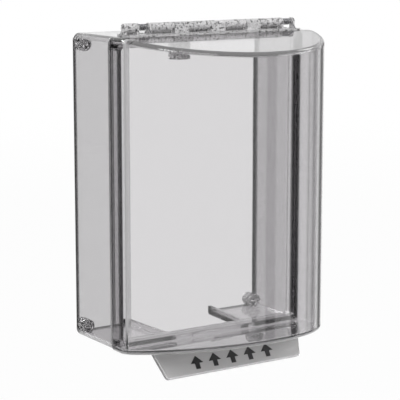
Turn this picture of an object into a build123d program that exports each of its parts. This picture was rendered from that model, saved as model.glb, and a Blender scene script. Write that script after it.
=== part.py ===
# Top-hinged wall guard in clear polycarbonate, closed, as it hangs on the wall.
# Millimetres. X to the right, Y into the wall, Z up. The origin is the centre of the back plane.
from build123d import *
import math
import os

os.makedirs("parts", exist_ok=True)

# Driving dimensions
guard_width = 150.0
guard_height = 204.5
frame_depth = 48.8
guard_depth = 125.0
wall = 3.0
half_width = guard_width / 2
half_height = guard_height / 2

# Fits
seam_gap = 0.3
tongue_side_gap = 0.3
tongue_top_gap = 1.0
pin_fixed_clearance = 0.02
pin_running_clearance = 0.05
knuckle_gap = 0.3
spring_seat_gap = 0.05

# Rear frame
frame_corner_radius = 5.0
rear_rim_land = 0.6
seam_chamfer = 0.5
tongue_thickness = 3.0
tongue_root_depth = 2.5
tongue_reach = 8.7
tongue_corner_radius = 2.0
tongue_edge_radius = 0.7
boss_radius = 4.6
boss_length = 9.0
boss_sink = 0.4
screw_hole_radius = 2.25
screw_sink_radius = 3.5
notch_half_width_back = 33.0
notch_half_width_front = 30.0
notch_land = 0.3
notch_corner_radius = 4.0
notch_rib_width = 2.6
notch_rib_height = 3.0
hub_radius = 7.5
hub_bore_radius = 5.5
hub_length = 16.5
hub_setback = 14.0
hub_floor = 1.5
catch_width = 6.0
catch_radius = 1.2
catch_offset = -15.0

# Front cover, with depths counted from the seam
side_return = 18.6
top_flat = 14.9
top_slope_drop = 7.9
bottom_flat = 10.9
bottom_slope_rise = 11.0
cover_edge_radius = 3.0
tab_setback = 21.7
tab_lean = 32.4
tab_thickness = 2.0
tab_root_height = 4.0
tab_drop = 18.8
tab_side_inset = 15.8
tab_taper = 6.0
tab_corner_radius = 2.5
label_thickness = 0.3
label_margin = 0.8
label_top_margin = 4.5

# Hinge
hinge_axis_setout = 3.4
hinge_axis_rise = 5.5
hinge_side_margin = 8.5
barrel_radius = 2.75
pin_radius = 1.0
pin_end_wall = 0.8
pin_end_gap = 0.1
pin_chamfer = 0.25
leaf_thickness = 1.3
frame_leaf_setback = 0.5
frame_leaf_width = 5.8
frame_web_foot = 4.0
frame_web_offset = 0.3
cover_leaf_setout = 2.3
cover_leaf_width = 10.1
cover_web_offset = 1.1
end_knuckle_width = 8.8
end_cheek_width = 1.6
cover_knuckle_width = 11.1
cover_knuckle_count = 5
cheek_width = 1.5

# Torsion springs
spring_wire_radius = 0.4
spring_bore_clearance = 0.35
spring_quarter_turns = 13
spring_turn_gap = 0.6
spring_leg_angle = 45.0

# Sizes that follow from these
seam_depth = frame_depth + seam_gap
rear_edge_radius = wall - rear_rim_land
boss_x = half_width - wall - boss_radius + boss_sink
boss_z = half_height - wall - boss_radius + boss_sink
notch_depth = frame_depth - tongue_root_depth - notch_land
crease_depth = seam_depth + side_return
top_slope_start = seam_depth + top_flat
bottom_slope_start = seam_depth + bottom_flat
tab_root_depth = seam_depth + tab_setback
tab_half_width_root = half_width - tab_side_inset
tab_half_width_tip = tab_half_width_root - tab_taper
bow_sagitta = guard_depth - crease_depth
bow_radius = (half_width**2 + bow_sagitta**2) / (2 * bow_sagitta)
bow_centre = guard_depth - bow_radius
hinge_axis_depth = seam_depth + hinge_axis_setout
hinge_axis_height = half_height + hinge_axis_rise
barrel_length = guard_width - 2 * hinge_side_margin
barrel_start = -barrel_length / 2
frame_leaf_front = frame_depth - frame_leaf_setback
frame_leaf_back = frame_leaf_front - frame_leaf_width
cover_leaf_back = seam_depth + cover_leaf_setout
cover_leaf_front = cover_leaf_back + cover_leaf_width
knuckle_pitch = (barrel_length - end_knuckle_width - cover_knuckle_width) / (cover_knuckle_count - 1)
cover_starts = [barrel_start + end_knuckle_width + knuckle_pitch * i for i in range(cover_knuckle_count)]
frame_ends = cover_starts
frame_starts = [barrel_start + end_cheek_width] + [start + cover_knuckle_width for start in cover_starts[:-1]]
spring_mean_radius = pin_radius + spring_bore_clearance + spring_wire_radius


# The outline of one knuckle on its web, seen along X. The web runs from its foot on the leaf to a point
# under the barrel and to the barrel's flank, both given as offsets from the axis towards the wall.
def knuckle_outline(foot_outer, foot_inner, under, flank):
    with BuildSketch(Plane.YZ) as outline:
        with Locations((-hinge_axis_depth, hinge_axis_height)):
            Circle(barrel_radius)
        Polygon(
            (-foot_outer, half_height),
            (-foot_inner, half_height),
            (-hinge_axis_depth + under, hinge_axis_height - barrel_radius * 0.98),
            (-hinge_axis_depth + flank, hinge_axis_height + barrel_radius * 0.3),
            align=None,
        )
    return outline.sketch


# The side profile of the cover, pulled in by an inset, seen along X
def cover_profile(inset):
    rise = bottom_slope_rise / (guard_depth - bottom_slope_start)
    drop = top_slope_drop / (guard_depth - top_slope_start)
    low_front = -half_height + inset + rise * (guard_depth - bottom_slope_start)
    high_front = half_height - inset - drop * (guard_depth - top_slope_start)
    return [
        (-seam_depth, -half_height + inset),
        (-bottom_slope_start, -half_height + inset),
        (-guard_depth, low_front),
        (-guard_depth, high_front),
        (-top_slope_start, half_height - inset),
        (-seam_depth, half_height - inset),
    ]


# The plan of the cover, pulled in by an inset, on the level of its underside
def cover_plan(inset):
    radius = bow_radius - inset
    side = half_width - inset
    crease = bow_centre + math.sqrt(radius**2 - side**2)
    with BuildSketch(Plane.XY.offset(-half_height)) as plan:
        with BuildLine():
            Line((-side, -seam_depth), (-side, -crease))
            ThreePointArc((-side, -crease), (0, -bow_centre - radius), (side, -crease))
            Polyline((side, -crease), (side, -seam_depth), (-side, -seam_depth))
        make_face()
    return plan.sketch


# Rear frame: an open box, rounded at the wall, with a tongue round its mouth, a cable notch, screw bosses
# and an entry hub
with BuildPart() as rear_frame:
    with BuildSketch(Plane.XZ):
        RectangleRounded(guard_width, guard_height, frame_corner_radius)
        RectangleRounded(
            guard_width - 2 * wall,
            guard_height - 2 * wall,
            frame_corner_radius - wall,
            mode=Mode.SUBTRACT,
        )
    extrude(amount=frame_depth)
    wall_rims = rear_frame.faces().filter_by(Axis.Y).sort_by(Axis.Y)
    chamfer(wall_rims[0].outer_wire().edges(), seam_chamfer)
    fillet(wall_rims[-1].outer_wire().edges(), rear_edge_radius)

    # The tongue stands on the inside of the wall and reaches into the cover
    tongue_inset = wall + tongue_side_gap
    tongue_shift = (tongue_top_gap - tongue_side_gap) / 2
    tongue_inner_inset = tongue_inset + tongue_thickness
    tongue_inner_width = guard_width - 2 * tongue_inner_inset
    tongue_inner_height = guard_height - 2 * tongue_inner_inset - 2 * tongue_shift
    with BuildSketch(Plane.XZ.offset(frame_depth - tongue_root_depth)):
        RectangleRounded(guard_width - 2 * wall, guard_height - 2 * wall, frame_corner_radius - wall)
        with Locations((0, -tongue_shift)):
            RectangleRounded(
                tongue_inner_width,
                tongue_inner_height,
                tongue_corner_radius,
                mode=Mode.SUBTRACT,
            )
    extrude(amount=tongue_root_depth)
    with BuildSketch(Plane.XZ.offset(frame_depth)):
        with Locations((0, -tongue_shift)):
            RectangleRounded(
                tongue_inner_width + 2 * tongue_thickness,
                tongue_inner_height + 2 * tongue_thickness,
                tongue_corner_radius,
            )
            RectangleRounded(
                tongue_inner_width,
                tongue_inner_height,
                tongue_corner_radius,
                mode=Mode.SUBTRACT,
            )
    extrude(amount=tongue_reach)
    tongue_front = rear_frame.faces().sort_by(Axis.Y)[0]
    fillet(tongue_front.edges(), tongue_edge_radius)

    # The ribs along both sides of the notch stand on the floor of the frame
    with BuildSketch(Plane.XY.offset(wall - half_height)):
        with BuildLine():
            Polyline(
                (-notch_half_width_back - notch_rib_width, 0),
                (notch_half_width_back + notch_rib_width, 0),
                (notch_half_width_front + notch_rib_width, -notch_depth),
                (-notch_half_width_front - notch_rib_width, -notch_depth),
                close=True,
            )
        make_face()
    extrude(amount=notch_rib_height)
    with BuildSketch(Plane.XY.offset(-half_height)) as notch:
        with BuildLine():
            Polyline(
                (-notch_half_width_back, 0),
                (notch_half_width_back, 0),
                (notch_half_width_front, -notch_depth),
                (-notch_half_width_front, -notch_depth),
                close=True,
            )
        make_face()
        fillet(notch.vertices().sort_by(Axis.Y)[:2], notch_corner_radius)
    extrude(amount=wall + notch_rib_height, mode=Mode.SUBTRACT)

    # Screw bosses in the four corners, countersunk from the front
    with BuildSketch(Plane.XZ):
        with GridLocations(2 * boss_x, 2 * boss_z, 2, 2):
            Circle(boss_radius)
    extrude(amount=boss_length)
    with Locations(Plane.XZ.offset(boss_length)):
        with GridLocations(2 * boss_x, 2 * boss_z, 2, 2):
            CounterSinkHole(screw_hole_radius, screw_sink_radius, depth=boss_length)

    # Blind entry hub that hangs from the top wall
    with BuildSketch(Plane.XY.offset(half_height - wall)):
        with Locations((0, -hub_setback)):
            Circle(hub_radius)
    extrude(amount=-hub_length)
    with BuildSketch(Plane.XY.offset(half_height - wall - hub_length)):
        with Locations((0, -hub_setback)):
            Circle(hub_bore_radius)
    extrude(amount=hub_length - hub_floor, mode=Mode.SUBTRACT)

    # Small rounded catch on the front of the tongue's lower bar
    catch_height = -half_height + tongue_inset + tongue_thickness / 2
    with BuildSketch(Plane.YZ.offset(catch_offset - catch_width / 2)):
        with Locations((-frame_depth - tongue_reach, catch_height)):
            Circle(catch_radius)
    extrude(amount=catch_width)

# Space inside the cover, open to the rear
with BuildPart() as cover_cavity:
    extrude(cover_plan(wall), amount=guard_height)
    with BuildSketch(Plane.YZ.offset(-half_width)):
        Polygon(*cover_profile(wall), align=None)
    extrude(amount=guard_width, mode=Mode.INTERSECT)

# Front cover: side returns, a bowed face, sloped top and bottom plates and the pull tab
with BuildPart() as front_cover:
    extrude(cover_plan(0), amount=guard_height)
    with BuildSketch(Plane.YZ.offset(-half_width)):
        Polygon(*cover_profile(0), align=None)
    extrude(amount=guard_width, mode=Mode.INTERSECT)
    rim_faces = front_cover.faces().filter_by(lambda face: abs(face.normal_at().Z) > 0.9)
    rear_face = front_cover.faces().sort_by(Axis.Y)[-1]
    rear_edges = rear_face.edges()
    rim_edges = [
        edge
        for edge in front_cover.edges()
        if len([face for face in rim_faces if edge in face.edges()]) == 1 and edge not in rear_edges
    ]
    fillet(rim_edges, cover_edge_radius)
    rear_rim = front_cover.faces().sort_by(Axis.Y)[-1]
    chamfer(rear_rim.outer_wire().edges(), seam_chamfer)
    add(cover_cavity.part, mode=Mode.SUBTRACT)

    # The tab leans forward out of the bottom plate
    tab_plane = Plane(
        origin=(0, -tab_root_depth, -half_height + tab_root_height),
        x_dir=(1, 0, 0),
        z_dir=(0, -math.cos(math.radians(tab_lean)), math.sin(math.radians(tab_lean))),
    )
    tab_length = tab_drop / math.cos(math.radians(tab_lean))
    with BuildSketch(tab_plane) as tab:
        with BuildLine():
            Polyline(
                (-tab_half_width_root, 0),
                (tab_half_width_root, 0),
                (tab_half_width_tip, -tab_length),
                (-tab_half_width_tip, -tab_length),
                close=True,
            )
        make_face()
        fillet(tab.vertices().sort_by(Axis.Y)[:2], tab_corner_radius)
    extrude(amount=-tab_thickness)

# Label bonded to the front of the tab
with BuildPart() as tab_label:
    with BuildSketch(tab_plane) as label:
        with BuildLine():
            Polyline(
                (-tab_half_width_root + 2 * label_margin, -label_top_margin),
                (tab_half_width_root - 2 * label_margin, -label_top_margin),
                (tab_half_width_tip - label_margin, -tab_length + label_margin),
                (-tab_half_width_tip + label_margin, -tab_length + label_margin),
                close=True,
            )
        make_face()
        fillet(label.vertices().sort_by(Axis.Y)[:2], tab_corner_radius - label_margin)
    extrude(amount=label_thickness)

# Hinge leaf on top of the frame: a foot strip with five knuckles on webs behind the barrel
with BuildPart() as frame_hinge_leaf:
    frame_leaf_length = barrel_length - 2 * end_cheek_width - knuckle_gap
    with BuildSketch(Plane.XY.offset(half_height)):
        with Locations((0, -(frame_leaf_back + frame_leaf_front) / 2)):
            Rectangle(frame_leaf_length, frame_leaf_front - frame_leaf_back)
    extrude(amount=leaf_thickness)
    frame_knuckle = knuckle_outline(
        frame_leaf_front - frame_web_foot,
        frame_leaf_front,
        frame_web_offset,
        barrel_radius * 0.95,
    )
    for start, end in zip(frame_starts, frame_ends):
        extrude(Pos(start + knuckle_gap / 2, 0, 0) * frame_knuckle, amount=end - start - knuckle_gap)
    with BuildSketch(Plane.YZ.offset(barrel_start)):
        with Locations((-hinge_axis_depth, hinge_axis_height)):
            Circle(pin_radius + pin_fixed_clearance)
    extrude(amount=barrel_length, mode=Mode.SUBTRACT)

# Hinge leaf on top of the cover: a closed cheek at the left end and five knuckles on upright webs,
# of which the outer two are slotted for the springs
with BuildPart() as cover_hinge_leaf:
    with BuildSketch(Plane.XY.offset(half_height)):
        with Locations((0, -(cover_leaf_back + cover_leaf_front) / 2)):
            Rectangle(barrel_length, cover_leaf_front - cover_leaf_back)
    extrude(amount=leaf_thickness)
    cover_knuckle = knuckle_outline(
        hinge_axis_depth + barrel_radius,
        cover_leaf_back,
        cover_web_offset,
        -barrel_radius,
    )
    extrude(Pos(barrel_start, 0, 0) * cover_knuckle, amount=end_cheek_width - knuckle_gap / 2)
    for start in cover_starts:
        extrude(Pos(start + knuckle_gap / 2, 0, 0) * cover_knuckle, amount=cover_knuckle_width - knuckle_gap)
    slot_width = cover_knuckle_width - knuckle_gap - 2 * cheek_width
    slot_height = 2 * hinge_axis_rise
    with BuildSketch(Plane.XY.offset(half_height + leaf_thickness)):
        for start in (cover_starts[0], cover_starts[-1]):
            with Locations((start + cover_knuckle_width / 2, -hinge_axis_depth)):
                Rectangle(slot_width, 3 * barrel_radius)
    extrude(amount=slot_height, mode=Mode.SUBTRACT)
    with BuildSketch(Plane.YZ.offset(barrel_start + pin_end_wall)):
        with Locations((-hinge_axis_depth, hinge_axis_height)):
            Circle(pin_radius + pin_running_clearance)
    extrude(amount=barrel_length, mode=Mode.SUBTRACT)

# Steel hinge pin, driven in from the right
with BuildPart() as hinge_pin:
    with BuildSketch(Plane.YZ.offset(barrel_start + pin_end_wall + pin_end_gap)):
        with Locations((-hinge_axis_depth, hinge_axis_height)):
            Circle(pin_radius)
    extrude(amount=barrel_length - pin_end_wall - pin_end_gap)
    chamfer(hinge_pin.edges().filter_by(GeomType.CIRCLE), pin_chamfer)


# Two arcs that join a point and direction to another with no kink
def biarc(start, start_direction, end, end_direction):
    span = end - start
    along = start_direction + end_direction
    turn = 2 * (1 - start_direction.dot(end_direction))
    handle = (math.sqrt(span.dot(along) ** 2 + turn * span.dot(span)) - span.dot(along)) / turn
    middle = (start + start_direction * handle + end - end_direction * handle) / 2
    first = Edge.make_tangent_arc(start, start_direction, middle)
    return [first, Edge.make_tangent_arc(middle, first % 1, end)]


# A closing spring wound round the pin, with one leg on each hinge leaf
def spring_wire(centre_x):
    pitch = 2 * spring_wire_radius + spring_turn_gap
    quarters = spring_quarter_turns
    first_angle = 90 - spring_leg_angle
    axis_point = Vector(0, -hinge_axis_depth, hinge_axis_height)

    def coil_point(step):
        angle = math.radians(first_angle + 90 * step)
        across = Vector(0, math.cos(angle), math.sin(angle)) * spring_mean_radius
        return axis_point + across + Vector(centre_x + pitch * (step - quarters / 2) / 4, 0, 0)

    def coil_direction(step):
        angle = math.radians(first_angle + 90 * step)
        round_axis = Vector(0, -math.sin(angle), math.cos(angle)) * spring_mean_radius
        return (round_axis + Vector(pitch / (2 * math.pi), 0, 0)).normalized()

    seat = half_height + leaf_thickness + spring_wire_radius + spring_seat_gap
    edges = []
    back_point = coil_point(0)
    back_direction = coil_direction(0)
    back_leg = (back_point.Z - seat) / back_direction.Z
    edges.append(Edge.make_line(back_point - back_direction * back_leg, back_point))
    for step in range(0, quarters, 2):
        after = min(step + 2, quarters)
        edges += biarc(coil_point(step), coil_direction(step), coil_point(after), coil_direction(after))
    front_point = coil_point(quarters)
    front_direction = coil_direction(quarters)
    front_leg = (seat - front_point.Z) / front_direction.Z
    edges.append(Edge.make_line(front_point, front_point + front_direction * front_leg))
    return Wire(edges)


# The least free gap between one stretch of the wire and another, measured on points
def least_self_gap(wire):
    count = 240
    spacing = wire.length / count
    points = [wire @ (i / count) for i in range(count + 1)]
    clear_steps = int(math.pi * spring_mean_radius / spacing)
    distances = [
        (points[i] - points[j]).length
        for i in range(count + 1)
        for j in range(i + clear_steps, count + 1)
    ]
    return min(distances) - 2 * spring_wire_radius


spring_paths = [
    spring_wire(start + cover_knuckle_width / 2)
    for start in (cover_starts[0], cover_starts[-1])
]
print("least gap of a spring to itself, mm:", round(least_self_gap(spring_paths[0]), 3))

# Left closing spring
with BuildPart() as torsion_spring_left:
    with BuildSketch(Plane(origin=spring_paths[0] @ 0, z_dir=spring_paths[0] % 0)):
        Circle(spring_wire_radius)
    sweep(path=spring_paths[0])

# Right closing spring
with BuildPart() as torsion_spring_right:
    with BuildSketch(Plane(origin=spring_paths[1] @ 0, z_dir=spring_paths[1] % 0)):
        Circle(spring_wire_radius)
    sweep(path=spring_paths[1])

rear_frame.part.label = "rear_frame"
front_cover.part.label = "front_cover"
tab_label.part.label = "tab_label"
frame_hinge_leaf.part.label = "frame_hinge_leaf"
cover_hinge_leaf.part.label = "cover_hinge_leaf"
hinge_pin.part.label = "hinge_pin"
torsion_spring_left.part.label = "torsion_spring_left"
torsion_spring_right.part.label = "torsion_spring_right"

export_step(rear_frame.part, "parts/rear_frame.step")
export_step(front_cover.part, "parts/front_cover.step")
export_step(tab_label.part, "parts/tab_label.step")
export_step(frame_hinge_leaf.part, "parts/frame_hinge_leaf.step")
export_step(cover_hinge_leaf.part, "parts/cover_hinge_leaf.step")
export_step(hinge_pin.part, "parts/hinge_pin.step")
export_step(torsion_spring_left.part, "parts/torsion_spring_left.step")
export_step(torsion_spring_right.part, "parts/torsion_spring_right.step")
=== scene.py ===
import bmesh
import bpy
import math
from mathutils import Euler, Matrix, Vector


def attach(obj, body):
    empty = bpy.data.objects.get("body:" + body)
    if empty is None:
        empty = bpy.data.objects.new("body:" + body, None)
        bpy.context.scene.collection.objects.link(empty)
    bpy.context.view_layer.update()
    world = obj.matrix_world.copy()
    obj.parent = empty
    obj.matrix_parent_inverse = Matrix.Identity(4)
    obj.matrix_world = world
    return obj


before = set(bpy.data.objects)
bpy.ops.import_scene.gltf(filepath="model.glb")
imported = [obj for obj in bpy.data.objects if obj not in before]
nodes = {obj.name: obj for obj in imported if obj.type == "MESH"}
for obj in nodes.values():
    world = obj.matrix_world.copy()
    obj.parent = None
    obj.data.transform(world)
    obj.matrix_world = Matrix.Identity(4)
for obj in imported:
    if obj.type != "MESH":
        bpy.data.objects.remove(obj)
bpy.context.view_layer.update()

# Camera, solved from the photograph's edges
CAMERA_PLACE = Vector((-0.5699, -0.9084, 0.1712))
CAMERA_AZIMUTH = math.radians(33.27)
CAMERA_PITCH = math.radians(9.93)
FOCAL_PIXELS = 1565.0
PHOTO_WIDTH = 400.0
SENSOR_WIDTH = 36.0

# Floor, in metres. The glow is the share of plain white that the camera sees near the object, and
# the rest is paper that takes its shadow. It fades to 1 between two distances.
FLOOR_HEIGHT = -0.30
FLOOR_HALF_SIZE = 6.0
FLOOR_GLOW = 0.93
FLOOR_FADE = (1.2, 3.0)
PAPER_COLOUR = (0.85, 0.85, 0.85, 1)

# Surroundings that the camera, glass and metal see, and the level that lights matt surfaces
WHITE = (1, 1, 1, 1)
WHITE_LEVEL = 1.0
SOFT_LEVEL = 0.75

# Panels that only glass and metal see, none of them behind the object in the camera's view.
# Azimuth, half width, low and high elevation and softness in degrees, then level. Azimuth 0 is +Y
# and 90 is +X.
ALL_ROUND = 180.0
STUDIO_PANELS = {
    "dark_flag_left": (-38.5, 13.5, -17.5, 18.0, 1.5, 0.035),
    "dark_flag_front": (147.5, 5.5, -17.5, 18.0, 1.5, 0.08),
    "dark_flag_right": (59.0, 6.0, -17.0, 9.0, 2.5, 0.20),
    "ceiling": (0.0, ALL_ROUND, 45.0, 90.0, 3.0, 1.25),
    "dark_flag_side": (116.0, 5.0, -30.0, 25.0, 1.5, 0.03),
    "dark_flag_far": (80.0, 5.0, -30.0, 25.0, 2.0, 0.30),
    "light_side": (125.0, 2.5, -30.0, 25.0, 1.5, 1.4),
    "light_return": (103.0, 5.0, -30.0, 25.0, 1.5, 1.4),
    "glint_near": (10.0, 2.5, -2.0, 14.0, 1.5, 14.0),
    "glint_left": (250.0, 9.0, 27.0, 40.0, 1.5, 14.0),
    "glint_right": (75.0, 9.0, 27.0, 40.0, 1.5, 6.0),
    "glint_back": (335.0, 9.0, 27.0, 40.0, 1.5, 14.0),
}

# Soft square lamps: place, side and power, both aimed at the middle of the cover
LAMP_TARGET = Vector((0.0, -0.05, 0.0))
LAMPS = {
    "key": (Vector((-1.2, -1.6, 1.6)), 1.4, 18.0),
    "fill": (Vector((1.8, -1.2, 0.8)), 1.2, 8.0),
}

# Label plane on the pull tab, from the part's own sizes in metres
TAB_ROOT = Vector((0.0, -0.0708, -0.09825))
TAB_LEAN = math.radians(32.4)
LABEL_THICKNESS = 0.0003

# Upward arrows printed on the label
ARROW_COUNT = 5
ARROW_PITCH = 0.014
ARROW_MIDDLE = -0.0143
ARROW_HEIGHT = 0.0092
ARROW_HEAD_WIDTH = 0.0098
ARROW_HEAD_HEIGHT = 0.0052
ARROW_SHAFT_WIDTH = 0.0036
INK_THICKNESS = 0.00012
INK_CORNER = 0.00025
INK_CORNER_SEGMENTS = 3
LENGTH_TOLERANCE = 1e-6

# Clear polycarbonate. A noise is given by its scale per metre and its detail, and a range is the
# part of a noise that is spread over a roughness or a share.
PLASTIC_IOR = 1.585
# The grey tint stands in for grey surroundings seen through the walls: painted shade
PLASTIC_PAINTED_SHADE_TINT = (0.69, 0.68, 0.69, 1)
PLASTIC_ABSORB = (0.10, 0.08, 0.10, 1)
PLASTIC_DENSITY = 12.0
WAVE_NOISE = (28.0, 1.0)
WAVE_DEPTH = 0.00003
GRAIN_NOISE = (600.0, 3.0)
GRAIN_DEPTH = 0.000002
SMEAR_NOISE = (45.0, 3.0)
SMEAR_RANGE = (0.4, 0.7)
FRAME_ROUGHNESS = (0.0, 0.03)
COVER_ROUGHNESS = (0.0, 0.02)

# Edges: how far they reach into a wall, how closely the rounded and flat normals match there,
# their clearness and rounding, their tints near the foot (painted light) and above it (painted
# shade), and where the tint changes
EDGE_REACH = 0.0020
EDGE_MATCH = (0.75, 0.97)
EDGE_CLEARNESS = 0.72
EDGE_ROUNDING = 0.0010
EDGE_PAINTED_LIGHT_LOW = (0.86, 0.85, 0.86, 1)
EDGE_PAINTED_SHADE_HIGH = (0.52, 0.51, 0.52, 1)
EDGE_TINT_HEIGHTS = (-0.08, -0.02)
EDGE_SAMPLES = 8
ROUNDING_SAMPLES = 6

# Roundings: the largest part of the frame's normal, and the upright part of the cover's normal
# where its rim starts and ends
FRAME_ROUNDING = (0.98, 0.88)
COVER_RIM_START = (0.15, 0.35)
COVER_RIM_END = (0.975, 0.90)

# Bands of painted shade round the joints, standing in for the dark lines that refraction draws
# there: back and front depth from the wall and softness in metres, side and shade. Side 1 is +X,
# -1 is -X and 0 is both.
REAR_RIM_SHADE = (-0.001, 0.0043, 0.0012, 0, 0.04)
SEAM_LINE_SHADE = (0.0508, 0.0526, 0.0003, -1, 0.05)
TONGUE_BACK_SHADE = (0.0520, 0.0537, 0.0003, 1, 0.01)
TONGUE_MIDDLE_SHADE = (0.0537, 0.0568, 0.0003, 1, 0.32)
TONGUE_FRONT_SHADE = (0.0562, 0.0590, 0.0004, 1, 0.006)
TONGUE_LEFT_SHADE = (0.0562, 0.0590, 0.0004, -1, 0.35)
FRAME_PAINTED_SHADE_BANDS = (REAR_RIM_SHADE, TONGUE_MIDDLE_SHADE, TONGUE_BACK_SHADE, TONGUE_FRONT_SHADE, TONGUE_LEFT_SHADE)
COVER_PAINTED_SHADE_BANDS = (SEAM_LINE_SHADE,)
BAND_GREEN_SHARE = 0.97

# Bands where the edges stay clear, and one where the cover's edge is made hazy to lighten it at
# the crease, which is painted light
FRAME_CLEAR_BAND = (0.0440, 0.0530, 0.0005, 1)
COVER_CLEAR_BAND = (0.0540, 0.0740, 0.0010, -1)
COVER_PAINTED_LIGHT_BAND = (0.0668, 0.0698, 0.0004, -1)
PAINTED_LIGHT_CLEARNESS = 0.45

# A band with a side starts this far from the middle. On the -X side it also fades near the foot.
BAND_SIDE_START = 0.066
BAND_SIDE_SOFTNESS = 0.001
BAND_FOOT = (-0.094, -0.080)

# The tongue's lower bar gets dark painted shade beside the cable notch: its depths, softness and
# side, the distances from the middle where it starts and ends, the height where its top fades, and
# its tint
BAR_DEPTHS = (0.0566, 0.0590, 0.0003, 0)
BAR_START = (0.031, 0.034)
BAR_END = (0.068, 0.066)
BAR_TOP = (-0.088, -0.092)
BAR_PAINTED_SHADE = (0.05, 0.05, 0.05, 1)

# Screw bosses and entry hub, which are clearer and crinkled, with dark flecks of painted shade and
# white painted glints in their colour
BOSS_PLACE = (0.0678, 0.0, 0.09505)
BOSS_REACH = 0.0056
BOSS_FRONT = (-0.0115, -0.0100)
HUB_PLACE = (0.0, -0.014, 0.0)
HUB_REACH = 0.0085
HUB_FOOT = (0.080, 0.081)
ACROSS_DEPTH = (1, 0, 1)
ACROSS_HEIGHT = (1, 1, 0)
LINE_CORE = 0.9
CRINKLE_NOISE = (450.0, 2.0)
CRINKLE_DEPTH = 0.0018
FLECK_NOISE = (700.0, 2.0)
FLECK_RANGE = (0.44, 0.40)
FLECK_PAINTED_SHADE = (0.05, 0.05, 0.05, 1)
PAINTED_GLINT_RANGE = (0.57, 0.60)
PAINTED_GLINT_CLEARNESS = 0.3

# Moulded hinge plastic: half clear and crinkled, speckled with dark flecks of painted shade that
# stand in for dark refractions
HINGE_CLEARNESS = 0.35
HINGE_PAINTED_SHADE = (0.10, 0.10, 0.10, 1)
HINGE_LIGHT = (0.94, 0.93, 0.94, 1)
HINGE_FLECK_NOISE = (650.0, 2.0, 0.6)
HINGE_FLECK_RANGE = (0.40, 0.48)
HINGE_FLECK_DEPTH = 0.0001
HINGE_CRINKLE_NOISE = (420.0, 2.0)
HINGE_CRINKLE_DEPTH = 0.0008
HINGE_ROUGHNESS = (0.45, 0.08)

# Metal and film: the middle part of a noise, then the colour, noises and roughness of each, how
# dark the marks or clouds in the colour are, and how deep the marks or grain
MIDDLE_RANGE = (0.3, 0.7)
PIN_COLOUR = (0.62, 0.62, 0.61)
PIN_NOISE = (1500.0, 4.0)
PIN_ROUGHNESS = (0.18, 0.35)
SPRING_COLOUR = (0.20, 0.20, 0.21)
SPRING_NOISE = (2500.0, 4.0)
SPRING_ROUGHNESS = (0.25, 0.4)
METAL_MARK_SHARE = 0.75
METAL_MARK_DEPTH = 0.00002
LABEL_COLOUR = (0.56, 0.555, 0.555)
LABEL_CLOUD_SHARE = 0.93
INK_COLOUR = (0.016, 0.016, 0.017)
INK_CLOUD_SHARE = 0.7
FILM_CLOUD_NOISE = (30.0, 2.0)
FILM_GRAIN_NOISE = (900.0, 3.0)
FILM_GRAIN_DEPTH = 0.00001
FILM_ROUGHNESS = (0.32, 0.45)


# Shader helpers
def new_material(name):
    material = bpy.data.materials.new(name)
    material.use_nodes = True
    tree = material.node_tree
    tree.nodes.clear()
    output = tree.nodes.new("ShaderNodeOutputMaterial")
    return material, tree, output


def add_node(tree, kind, **values):
    node = tree.nodes.new(kind)
    for key, value in values.items():
        setattr(node, key, value)
    return node


def link(tree, source, target):
    tree.links.new(source, target)


def object_place(tree):
    return add_node(tree, "ShaderNodeTexCoord").outputs["Object"]


def noise(tree, place, scale, detail, roughness=0.5):
    texture = add_node(tree, "ShaderNodeTexNoise")
    texture.inputs["Scale"].default_value = scale
    texture.inputs["Detail"].default_value = detail
    texture.inputs["Roughness"].default_value = roughness
    link(tree, place, texture.inputs["Vector"])
    return texture.outputs["Fac"]


def bump(tree, height, distance, normal=None, strength=None):
    node = add_node(tree, "ShaderNodeBump")
    node.inputs["Strength"].default_value = 1.0
    node.inputs["Distance"].default_value = distance
    link(tree, height, node.inputs["Height"])
    if normal is not None:
        link(tree, normal, node.inputs["Normal"])
    if strength is not None:
        link(tree, strength, node.inputs["Strength"])
    return node.outputs["Normal"]


def ramp(tree, value, low, high, at_low, at_high):
    node = add_node(tree, "ShaderNodeMapRange")
    node.inputs["From Min"].default_value = low
    node.inputs["From Max"].default_value = high
    node.inputs["To Min"].default_value = at_low
    node.inputs["To Max"].default_value = at_high
    link(tree, value, node.inputs["Value"])
    return node.outputs["Result"]


def smooth(tree, value, start, end, at_start=0.0, at_end=1.0):
    node = add_node(tree, "ShaderNodeMapRange", interpolation_type="SMOOTHSTEP")
    node.inputs["From Min"].default_value = start
    node.inputs["From Max"].default_value = end
    node.inputs["To Min"].default_value = at_start
    node.inputs["To Max"].default_value = at_end
    link(tree, value, node.inputs["Value"])
    return node.outputs["Result"]


# 1 where a share is 0, and a level where it is 1
def fade(tree, share, level):
    return ramp(tree, share, 0.0, 1.0, 1.0, level)


def rest_of(tree, share):
    return fade(tree, share, 0.0)


def join_numbers(tree, operation, first, second):
    node = add_node(tree, "ShaderNodeMath", operation=operation)
    link(tree, first, node.inputs[0])
    link(tree, second, node.inputs[1])
    return node.outputs["Value"]


def multiply(tree, first, second):
    return join_numbers(tree, "MULTIPLY", first, second)


def pick_larger(tree, first, second):
    return join_numbers(tree, "MAXIMUM", first, second)


# One vector operation on a vector and, where it needs one, a fixed vector. Returns the node.
def change_vector(tree, operation, vector, fixed=None):
    node = add_node(tree, "ShaderNodeVectorMath", operation=operation)
    link(tree, vector, node.inputs[0])
    if fixed is not None:
        node.inputs[1].default_value = fixed
    return node


def axes(tree, vector):
    split = add_node(tree, "ShaderNodeSeparateXYZ")
    link(tree, vector, split.inputs[0])
    return split.outputs


def axis_sizes(tree, vector):
    return axes(tree, change_vector(tree, "ABSOLUTE", vector).outputs["Vector"])


def set_or_link(tree, colour, socket):
    if isinstance(colour, tuple):
        socket.default_value = colour
    else:
        link(tree, colour, socket)


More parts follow.
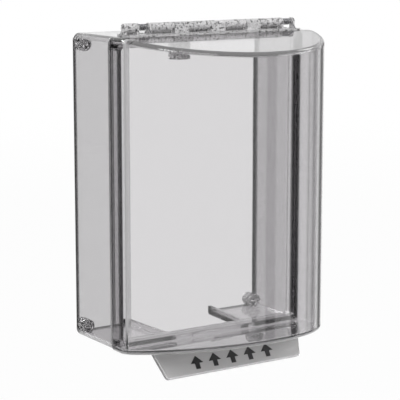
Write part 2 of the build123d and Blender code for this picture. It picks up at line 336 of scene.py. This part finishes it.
# A mix of two colours, each given as a tuple or as a socket
def tint(tree, colour, other_colour, share):
    mix = add_node(tree, "ShaderNodeMixRGB")
    link(tree, share, mix.inputs["Fac"])
    set_or_link(tree, colour, mix.inputs["Color1"])
    set_or_link(tree, other_colour, mix.inputs["Color2"])
    return mix.outputs["Color"]


# A share that is 1 on sharp edges and 0 on flat walls, found from how far a rounded normal turns
def sharp_edges(tree):
    rounded = add_node(tree, "ShaderNodeBevel", samples=EDGE_SAMPLES)
    rounded.inputs["Radius"].default_value = EDGE_REACH
    flat = add_node(tree, "ShaderNodeNewGeometry")
    match = add_node(tree, "ShaderNodeVectorMath", operation="DOT_PRODUCT")
    link(tree, rounded.outputs["Normal"], match.inputs[0])
    link(tree, flat.outputs["Normal"], match.inputs[1])
    return ramp(tree, match.outputs["Value"], *EDGE_MATCH, 1.0, 0.0)


# The same for the frame's roundings, which face none of the three axes squarely
def frame_roundings(tree, coordinates):
    sizes = axis_sizes(tree, coordinates.outputs["Normal"])
    largest = pick_larger(tree, pick_larger(tree, sizes["X"], sizes["Y"]), sizes["Z"])
    return smooth(tree, largest, *FRAME_ROUNDING)


# The same for the cover's rounded rim, between its upright walls and its plates
def cover_roundings(tree, coordinates):
    upright = axis_sizes(tree, coordinates.outputs["Normal"])["Z"]
    start = smooth(tree, upright, *COVER_RIM_START)
    return multiply(tree, start, smooth(tree, upright, *COVER_RIM_END))


# A share that is 1 between two depths from the wall and fades over a soft distance at each end
def depth_band(tree, place, back, front, soft, side):
    axis = axes(tree, place)
    behind = smooth(tree, axis["Y"], -front - soft, -front + soft)
    before = smooth(tree, axis["Y"], -back + soft, -back - soft)
    band = multiply(tree, behind, before)
    if side == 0:
        return band
    if side < 0:
        band = multiply(tree, band, smooth(tree, axis["Z"], *BAND_FOOT))
    start = side * BAND_SIDE_START
    end = side * (BAND_SIDE_START + BAND_SIDE_SOFTNESS)
    return multiply(tree, band, smooth(tree, axis["X"], start, end))


# A share that is 1 on the front of the tongue's lower bar, on both sides of the cable notch, where
# it gets painted shade
def lower_bar(tree, place):
    outward = axis_sizes(tree, place)["X"]
    across = multiply(tree, smooth(tree, outward, *BAR_START), smooth(tree, outward, *BAR_END))
    below = multiply(tree, across, smooth(tree, axes(tree, place)["Z"], *BAR_TOP))
    return multiply(tree, below, depth_band(tree, place, *BAR_DEPTHS))


# A share that is 1 within a reach of a line, which runs through a point along the axis left out
def near_line(tree, place, point, across, reach):
    away = change_vector(tree, "SUBTRACT", place, point)
    flat = change_vector(tree, "MULTIPLY", away.outputs["Vector"], across)
    distance = change_vector(tree, "LENGTH", flat.outputs["Vector"])
    return smooth(tree, distance.outputs["Value"], reach, reach * LINE_CORE)


# A share that is 1 in the four screw bosses and the entry hub
def moulded_lumps(tree, place):
    mirrored = change_vector(tree, "ABSOLUTE", place).outputs["Vector"]
    axis = axes(tree, place)
    boss = near_line(tree, mirrored, BOSS_PLACE, ACROSS_DEPTH, BOSS_REACH)
    hub = near_line(tree, place, HUB_PLACE, ACROSS_HEIGHT, HUB_REACH)
    boss = multiply(tree, boss, smooth(tree, axis["Y"], *BOSS_FRONT))
    hub = multiply(tree, hub, smooth(tree, axis["Z"], *HUB_FOOT))
    return pick_larger(tree, boss, hub)


# The plastic's grey tint, which is painted shade, with painted light on its edges near the foot,
# painted shade on its edges above it and painted shade in the bands round its joints
def plastic_colour(tree, place, edges, painted_shade_bands, lumps):
    height = axes(tree, place)["Z"]
    upper = smooth(tree, height, *EDGE_TINT_HEIGHTS)
    colour = tint(tree, PLASTIC_PAINTED_SHADE_TINT, tint(tree, EDGE_PAINTED_LIGHT_LOW, EDGE_PAINTED_SHADE_HIGH, upper), edges)
    for *depths, shade in painted_shade_bands:
        share = depth_band(tree, place, *depths)
        if lumps is not None:
            share = multiply(tree, share, rest_of(tree, lumps))
        colour = tint(tree, colour, (shade, shade * BAND_GREEN_SHARE, shade, 1), share)
    return colour


# The normal of softened edges, faint waves and grain, crinkled in the lumps
def plastic_normal(tree, place, lumps):
    softened = add_node(tree, "ShaderNodeBevel", samples=ROUNDING_SAMPLES)
    softened.inputs["Radius"].default_value = EDGE_ROUNDING
    wave = bump(tree, noise(tree, place, *WAVE_NOISE), WAVE_DEPTH, softened.outputs["Normal"])
    grain = bump(tree, noise(tree, place, *GRAIN_NOISE), GRAIN_DEPTH, wave)
    if lumps is None:
        return grain
    return bump(tree, noise(tree, place, *CRINKLE_NOISE), CRINKLE_DEPTH, grain, lumps)


# Frame only: painted shade on its lower bar, and dark flecks of painted shade and white painted
# glints in its lumps
def speckle_lumps(tree, place, lumps, colour, clearness):
    colour = tint(tree, colour, BAR_PAINTED_SHADE, lower_bar(tree, place))
    speckle = noise(tree, place, *FLECK_NOISE)
    flecks = multiply(tree, ramp(tree, speckle, *FLECK_RANGE, 0.0, 1.0), lumps)
    painted_glints = multiply(tree, ramp(tree, speckle, *PAINTED_GLINT_RANGE, 0.0, 1.0), lumps)
    colour = tint(tree, tint(tree, colour, FLECK_PAINTED_SHADE, flecks), WHITE, painted_glints)
    return colour, multiply(tree, clearness, fade(tree, painted_glints, PAINTED_GLINT_CLEARNESS))


# Clear moulded polycarbonate: polished, softened and hazy on its edges, with painted shade on its
# edges and painted light near their foot, painted shade at its joints, and a faint flow waviness
# in its walls. Only the frame has lumps, and only the cover a hazy band of painted light.
def clear_plastic(
    name, roundings, roughness, painted_shade_bands, clear_band, painted_light_band=None, has_lumps=False
):
    material, tree, output = new_material(name)
    coordinates = add_node(tree, "ShaderNodeTexCoord")
    place = coordinates.outputs["Object"]
    lumps = moulded_lumps(tree, place) if has_lumps else None
    edges = pick_larger(tree, sharp_edges(tree), roundings(tree, coordinates))
    edges = multiply(tree, edges, rest_of(tree, depth_band(tree, place, *clear_band)))
    if lumps is not None:
        edges = multiply(tree, edges, rest_of(tree, lumps))
    clearness = fade(tree, edges, EDGE_CLEARNESS)
    if painted_light_band is not None:
        # A hazy band that lightens the cover's edge at the crease: painted light
        painted_light = depth_band(tree, place, *painted_light_band)
        clearness = multiply(tree, clearness, fade(tree, painted_light, PAINTED_LIGHT_CLEARNESS))
    colour = plastic_colour(tree, place, edges, painted_shade_bands, lumps)
    if lumps is not None:
        colour, clearness = speckle_lumps(tree, place, lumps, colour, clearness)
    smears = noise(tree, place, *SMEAR_NOISE)
    shader = add_node(tree, "ShaderNodeBsdfPrincipled")
    shader.inputs["IOR"].default_value = PLASTIC_IOR
    link(tree, clearness, shader.inputs["Transmission Weight"])
    link(tree, colour, shader.inputs["Base Color"])
    link(tree, ramp(tree, smears, *SMEAR_RANGE, *roughness), shader.inputs["Roughness"])
    link(tree, plastic_normal(tree, place, lumps), shader.inputs["Normal"])
    absorb = add_node(tree, "ShaderNodeVolumeAbsorption")
    absorb.inputs["Color"].default_value = PLASTIC_ABSORB
    absorb.inputs["Density"].default_value = PLASTIC_DENSITY
    link(tree, shader.outputs["BSDF"], output.inputs["Surface"])
    link(tree, absorb.outputs["Volume"], output.inputs["Volume"])
    return material


def hinge_plastic(name):
    material, tree, output = new_material(name)
    place = object_place(tree)
    shader = add_node(tree, "ShaderNodeBsdfPrincipled")
    shader.inputs["IOR"].default_value = PLASTIC_IOR
    shader.inputs["Transmission Weight"].default_value = HINGE_CLEARNESS
    flecks = noise(tree, place, *HINGE_FLECK_NOISE)
    share = ramp(tree, flecks, *HINGE_FLECK_RANGE, 0.0, 1.0)
    # Dark flecks of painted shade in the light plastic, standing in for dark refractions
    link(tree, tint(tree, HINGE_PAINTED_SHADE, HINGE_LIGHT, share), shader.inputs["Base Color"])
    roughness = ramp(tree, flecks, *MIDDLE_RANGE, *HINGE_ROUGHNESS)
    link(tree, roughness, shader.inputs["Roughness"])
    crinkle = bump(tree, noise(tree, place, *HINGE_CRINKLE_NOISE), HINGE_CRINKLE_DEPTH)
    link(tree, bump(tree, flecks, HINGE_FLECK_DEPTH, crinkle), shader.inputs["Normal"])
    link(tree, shader.outputs["BSDF"], output.inputs["Surface"])
    return material


# A colour that a share takes from a darker tone of itself to the colour
def shaded_colour(tree, colour, dark_share, share):
    dark = (*[part * dark_share for part in colour], 1)
    return tint(tree, dark, (*colour, 1), share)


# Drawn steel, with marks in its colour, gloss and surface
def brushed_metal(name, colour, mark_noise, roughness):
    material, tree, output = new_material(name)
    marks = noise(tree, object_place(tree), *mark_noise)
    shader = add_node(tree, "ShaderNodeBsdfPrincipled")
    shader.inputs["Metallic"].default_value = 1.0
    marked = shaded_colour(tree, colour, METAL_MARK_SHARE, marks)
    link(tree, marked, shader.inputs["Base Color"])
    link(tree, ramp(tree, marks, *MIDDLE_RANGE, *roughness), shader.inputs["Roughness"])
    link(tree, bump(tree, marks, METAL_MARK_DEPTH), shader.inputs["Normal"])
    link(tree, shader.outputs["BSDF"], output.inputs["Surface"])
    return material


# Satin film, for the label and the ink on it: a faint cloud in the colour and a fine grain
def label_film(name, colour, cloud_share):
    material, tree, output = new_material(name)
    place = object_place(tree)
    grain = noise(tree, place, *FILM_GRAIN_NOISE)
    cloud = noise(tree, place, *FILM_CLOUD_NOISE)
    shader = add_node(tree, "ShaderNodeBsdfPrincipled")
    clouded = shaded_colour(tree, colour, cloud_share, cloud)
    link(tree, clouded, shader.inputs["Base Color"])
    link(tree, ramp(tree, grain, *MIDDLE_RANGE, *FILM_ROUGHNESS), shader.inputs["Roughness"])
    link(tree, bump(tree, grain, FILM_GRAIN_DEPTH), shader.inputs["Normal"])
    link(tree, shader.outputs["BSDF"], output.inputs["Surface"])
    return material


def sine(degrees):
    return math.sin(math.radians(degrees))


def cosine(degrees):
    return math.cos(math.radians(degrees))


# A share that is 1 inside a panel and fades at its edges. A panel all round has no upper edge.
def studio_panel(tree, direction, azimuth, half_width, low, high, soft):
    upward = axes(tree, direction)["Z"]
    above = smooth(tree, upward, sine(low - soft), sine(low + soft))
    if half_width >= ALL_ROUND:
        return above
    below = smooth(tree, upward, sine(high + soft), sine(high - soft))
    level = change_vector(tree, "MULTIPLY", direction, ACROSS_HEIGHT)
    heading = change_vector(tree, "NORMALIZE", level.outputs["Vector"])
    middle = (sine(azimuth), cosine(azimuth), 0)
    aim = change_vector(tree, "DOT_PRODUCT", heading.outputs["Vector"], middle)
    outer, inner = cosine(half_width + soft), cosine(half_width - soft)
    across = smooth(tree, aim.outputs["Value"], outer, inner)
    return multiply(tree, multiply(tree, across, above), below)


def blend_level(tree, below, level, share):
    node = add_node(tree, "ShaderNodeMix", data_type="FLOAT")
    link(tree, share, node.inputs[0])
    link(tree, below, node.inputs[2])
    node.inputs[3].default_value = level
    return node.outputs[0]


# Camera rays, and the rays by which clear plastic and metal see their surroundings
def ray_kinds(tree):
    path = add_node(tree, "ShaderNodeLightPath")
    glossy, through = path.outputs["Is Glossy Ray"], path.outputs["Is Transmission Ray"]
    return path.outputs["Is Camera Ray"], pick_larger(tree, glossy, through)


# White for the camera, white with the panels for clear plastic and metal, and soft for the rest
def build_world():
    world = bpy.data.worlds.new("studio")
    bpy.context.scene.world = world
    world.use_nodes = True
    tree = world.node_tree
    tree.nodes.clear()
    output = tree.nodes.new("ShaderNodeOutputWorld")
    direction = add_node(tree, "ShaderNodeTexCoord").outputs["Generated"]
    base = add_node(tree, "ShaderNodeValue")
    base.outputs[0].default_value = WHITE_LEVEL
    level = base.outputs[0]
    for *place, panel_level in STUDIO_PANELS.values():
        level = blend_level(tree, level, panel_level, studio_panel(tree, direction, *place))
    camera_ray, clear_ray = ray_kinds(tree)
    soft = add_node(tree, "ShaderNodeMix", data_type="FLOAT")
    soft.inputs[2].default_value = SOFT_LEVEL
    link(tree, clear_ray, soft.inputs[0])
    link(tree, level, soft.inputs[3])
    strength = blend_level(tree, soft.outputs[0], WHITE_LEVEL, camera_ray)
    background = add_node(tree, "ShaderNodeBackground")
    background.inputs["Color"].default_value = WHITE
    link(tree, strength, background.inputs["Strength"])
    link(tree, background.outputs[0], output.inputs["Surface"])


def mix_shaders(tree, first, second, share):
    mix = add_node(tree, "ShaderNodeMixShader")
    link(tree, share, mix.inputs[0])
    link(tree, first, mix.inputs[1])
    link(tree, second, mix.inputs[2])
    return mix.outputs[0]


# Paper under a white glow, which lets the rays of clear plastic and metal through to the world
def floor_material():
    material, tree, output = new_material("floor_white")
    camera_ray, clear_ray = ray_kinds(tree)
    paper = add_node(tree, "ShaderNodeBsdfDiffuse")
    paper.inputs["Color"].default_value = PAPER_COLOUR
    glow = add_node(tree, "ShaderNodeEmission")
    glow.inputs["Color"].default_value = WHITE
    distance = change_vector(tree, "LENGTH", object_place(tree)).outputs["Value"]
    share = multiply(tree, camera_ray, smooth(tree, distance, *FLOOR_FADE, FLOOR_GLOW, 1.0))
    seen = mix_shaders(tree, paper.outputs[0], glow.outputs[0], share)
    gone = add_node(tree, "ShaderNodeBsdfTransparent")
    surface = mix_shaders(tree, seen, gone.outputs[0], clear_ray)
    link(tree, surface, output.inputs["Surface"])
    return material


def build_floor():
    s = FLOOR_HALF_SIZE
    mesh = bpy.data.meshes.new("floor")
    mesh.from_pydata([(-s, -s, 0), (s, -s, 0), (s, s, 0), (-s, s, 0)], [], [(0, 1, 2, 3)])
    mesh.materials.append(floor_material())
    floor = bpy.data.objects.new("floor", mesh)
    floor.location.z = FLOOR_HEIGHT
    bpy.context.scene.collection.objects.link(floor)


def add_lamp(name, place, side, power):
    data = bpy.data.lights.new(name, "AREA")
    data.shape = "RECTANGLE"
    data.size = side
    data.size_y = side
    data.energy = power
    lamp = bpy.data.objects.new(name, data)
    lamp.location = place
    lamp.rotation_euler = (LAMP_TARGET - place).to_track_quat("-Z", "Y").to_euler()
    bpy.context.scene.collection.objects.link(lamp)


def build_camera():
    data = bpy.data.cameras.new("camera")
    data.sensor_width = SENSOR_WIDTH
    data.lens = FOCAL_PIXELS * SENSOR_WIDTH / PHOTO_WIDTH
    camera = bpy.data.objects.new("camera", data)
    camera.location = CAMERA_PLACE
    camera.rotation_euler = Euler((math.pi / 2 - CAMERA_PITCH, 0, -CAMERA_AZIMUTH))
    bpy.context.scene.collection.objects.link(camera)
    bpy.context.scene.camera = camera


# Outline of one upward arrow in the label's plane, counterclockwise
def arrow_outline(middle_x):
    low = ARROW_MIDDLE - ARROW_HEIGHT / 2
    high = ARROW_MIDDLE + ARROW_HEIGHT / 2
    neck = high - ARROW_HEAD_HEIGHT
    shaft = ARROW_SHAFT_WIDTH / 2
    head = ARROW_HEAD_WIDTH / 2
    outline = [
        (-shaft, low),
        (shaft, low),
        (shaft, neck),
        (head, neck),
        (0.0, high),
        (-head, neck),
        (-shaft, neck),
    ]
    return [(middle_x + x, y) for x, y in outline]


def label_point(across, up, lift):
    along = Vector((0, math.sin(TAB_LEAN), math.cos(TAB_LEAN)))
    front = Vector((0, -math.cos(TAB_LEAN), math.sin(TAB_LEAN)))
    return TAB_ROOT + Vector((across, 0, 0)) + along * up + front * lift


# Adds one arrow to a mesh: its lower face on the label, its upper face and its sides
def add_arrow(shape, outline):
    top = LABEL_THICKNESS + INK_THICKNESS
    low = [shape.verts.new(label_point(x, y, LABEL_THICKNESS)) for x, y in outline]
    high = [shape.verts.new(label_point(x, y, top)) for x, y in outline]
    shape.faces.new(reversed(low))
    shape.faces.new(high)
    for i in range(len(outline)):
        j = (i + 1) % len(outline)
        shape.faces.new((low[i], low[j], high[j], high[i]))


# Generic upward arrows, a thin layer of ink with softened corners
def build_arrows():
    shape = bmesh.new()
    for index in range(ARROW_COUNT):
        add_arrow(shape, arrow_outline((index - (ARROW_COUNT - 1) / 2) * ARROW_PITCH))
    corners = [
        edge
        for edge in shape.edges
        if abs(edge.calc_length() - INK_THICKNESS) < LENGTH_TOLERANCE
    ]
    bmesh.ops.bevel(
        shape,
        geom=corners,
        offset=INK_CORNER,
        segments=INK_CORNER_SEGMENTS,
        profile=0.5,
        affect="EDGES",
    )
    bmesh.ops.recalc_face_normals(shape, faces=shape.faces)
    mesh = bpy.data.meshes.new("lift_arrows")
    shape.to_mesh(mesh)
    shape.free()
    mesh.materials.append(label_film("label_ink", INK_COLOUR, INK_CLOUD_SHARE))
    arrows = bpy.data.objects.new("lift_arrows", mesh)
    bpy.context.scene.collection.objects.link(arrows)
    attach(arrows, "lift_cover")


def set_material(material, *names):
    for name in names:
        for slot in nodes[name].material_slots:
            slot.material = material


frame_clear = clear_plastic(
    "frame_polycarbonate",
    frame_roundings,
    FRAME_ROUGHNESS,
    FRAME_PAINTED_SHADE_BANDS,
    FRAME_CLEAR_BAND,
    has_lumps=True,
)
cover_clear = clear_plastic(
    "cover_polycarbonate",
    cover_roundings,
    COVER_ROUGHNESS,
    COVER_PAINTED_SHADE_BANDS,
    COVER_CLEAR_BAND,
    painted_light_band=COVER_PAINTED_LIGHT_BAND,
)
hinge_clear = hinge_plastic("hinge_polycarbonate")
pin_steel = brushed_metal("pin_steel", PIN_COLOUR, PIN_NOISE, PIN_ROUGHNESS)
spring_steel = brushed_metal("spring_steel", SPRING_COLOUR, SPRING_NOISE, SPRING_ROUGHNESS)
label_silver = label_film("label_silver", LABEL_COLOUR, LABEL_CLOUD_SHARE)
set_material(frame_clear, "rear_frame")
set_material(cover_clear, "front_cover")
set_material(hinge_clear, "frame_hinge_leaf", "cover_hinge_leaf")
set_material(pin_steel, "hinge_pin")
set_material(spring_steel, "torsion_spring_left", "torsion_spring_right")
set_material(label_silver, "tab_label")

build_world()
build_floor()
build_camera()
build_arrows()
for lamp_name, settings in LAMPS.items():
    add_lamp(lamp_name, *settings)

bpy.context.scene.view_settings.view_transform = "Standard"
